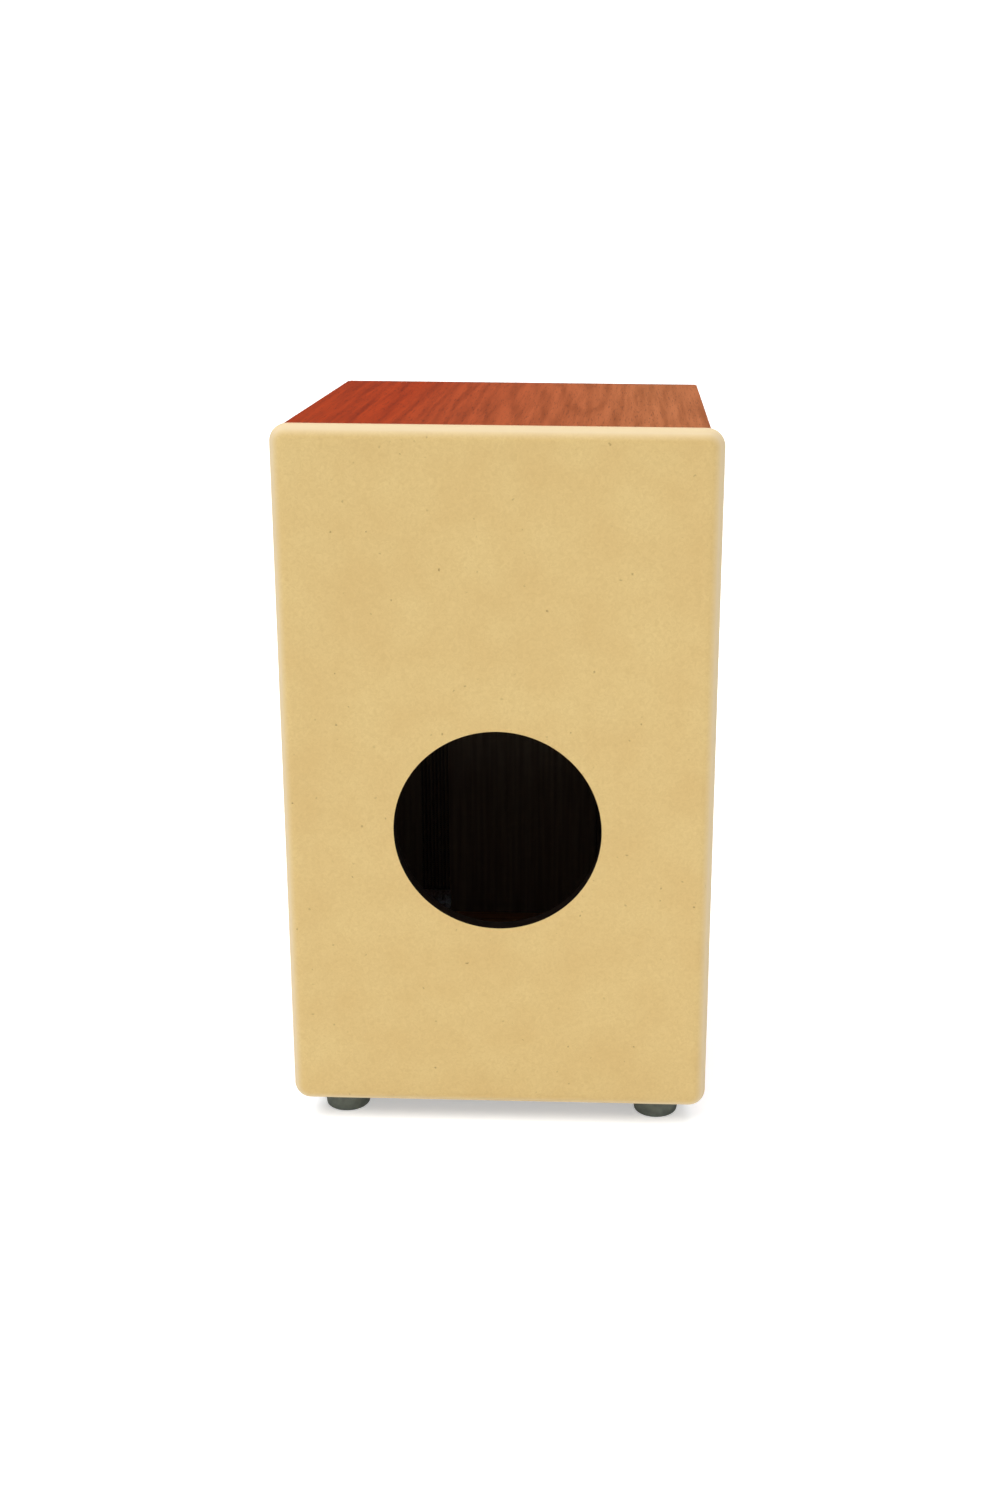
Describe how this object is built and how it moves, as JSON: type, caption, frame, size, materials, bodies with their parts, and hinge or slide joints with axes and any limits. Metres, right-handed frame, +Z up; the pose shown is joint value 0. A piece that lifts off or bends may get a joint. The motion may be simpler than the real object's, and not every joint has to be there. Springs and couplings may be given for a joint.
{
  "type": "cajon",
  "caption": "Box drum that is sat on and played with the hands: thin struck front, round sound hole in the back panel, snare wires inside, rubber feet.",
  "frame": {"origin": "middle of the footprint, on the floor under the feet", "axes": "+Z up; -Y is the struck front plate, +Y the back panel with the sound hole; +X is to the right seen from the front plate's side"},
  "size_m": [0.3, 0.296, 0.505],
  "materials": {
    "body_veneer": "reddish-brown hardwood veneer, satin lacquer",
    "front_veneer": "reddish-brown veneered plywood, satin lacquer",
    "fibreboard": "natural medium-density fibreboard, sanded, clear matt sealer",
    "softwood": "planed, unfinished",
    "rubber": "matt dark grey moulded",
    "zinc_steel": "bright zinc plated",
    "black_steel": "black oxide",
    "spring_steel": "blued spring wire"
  },
  "bodies": {
    "box": {"top_board": "body_veneer", "bottom_board": "body_veneer", "left_side_board": "body_veneer", "right_side_board": "body_veneer", "front_plate": "front_veneer", "back_panel": "fibreboard", "top_left_batten": "softwood", "top_right_batten": "softwood", "bottom_left_batten": "softwood", "bottom_right_batten": "softwood", "snare_anchor_batten": "softwood", "snare_bar": "softwood", "plate_screw_left_1": "black_steel", "plate_screw_left_2": "black_steel", "plate_screw_left_3": "black_steel", "plate_screw_left_4": "black_steel", "plate_screw_left_5": "black_steel", "plate_screw_right_1": "black_steel", "plate_screw_right_2": "black_steel", "plate_screw_right_3": "black_steel", "plate_screw_right_4": "black_steel", "plate_screw_right_5": "black_steel", "plate_screw_bottom_1": "black_steel", "plate_screw_bottom_2": "black_steel", "plate_screw_bottom_3": "black_steel", "plate_screw_bottom_4": "black_steel", "plate_screw_top_1": "black_steel", "plate_screw_top_2": "black_steel", "plate_screw_top_3": "black_steel", "plate_screw_top_4": "black_steel", "left_snare_wires": "spring_steel", "left_tension_washer": "zinc_steel", "left_wire_screw_1": "zinc_steel", "left_wire_screw_2": "zinc_steel", "right_snare_wires": "spring_steel", "right_tension_washer": "zinc_steel", "right_wire_screw_1": "zinc_steel", "right_wire_screw_2": "zinc_steel", "front_left_foot": "rubber", "front_left_foot_washer": "zinc_steel", "front_left_foot_screw": "zinc_steel", "front_right_foot": "rubber", "front_right_foot_washer": "zinc_steel", "front_right_foot_screw": "zinc_steel", "back_left_foot": "rubber", "back_left_foot_washer": "zinc_steel", "back_left_foot_screw": "zinc_steel", "back_right_foot": "rubber", "back_right_foot_washer": "zinc_steel", "back_right_foot_screw": "zinc_steel"},
    "left_bolt": {"left_tension_bolt": "black_steel"},
    "left_yoke": {"left_snare_yoke": "zinc_steel", "left_yoke_screw_1": "zinc_steel", "left_yoke_screw_2": "zinc_steel"},
    "right_bolt": {"right_tension_bolt": "black_steel"},
    "right_yoke": {"right_snare_yoke": "zinc_steel", "right_yoke_screw_1": "zinc_steel", "right_yoke_screw_2": "zinc_steel"}
  },
  "joints": [
    {"name": "left_bolt_turn", "type": "hinge", "parent": "box", "child": "left_bolt", "pos_m": [-0.075, -0.1347, 0.0204], "axis": [0, 0, 1], "range_deg": [-360, 1080]},
    {"name": "left_yoke_travel", "type": "slide", "parent": "box", "child": "left_yoke", "axis": [0, 0, -1], "range_m": [-0.0008, 0.0024], "deforming": ["left_snare_wires"]},
    {"name": "right_bolt_turn", "type": "hinge", "parent": "box", "child": "right_bolt", "pos_m": [0.075, -0.1347, 0.0204], "axis": [0, 0, 1], "range_deg": [-360, 1080]},
    {"name": "right_yoke_travel", "type": "slide", "parent": "box", "child": "right_yoke", "axis": [0, 0, -1], "range_m": [-0.0008, 0.0024], "deforming": ["right_snare_wires"]}
  ],
  "couplings": [
    {"joint": "left_bolt_turn", "follows": "left_yoke_travel", "rad_per_m": 7850},
    {"joint": "right_bolt_turn", "follows": "right_yoke_travel", "rad_per_m": 7850}
  ]
}
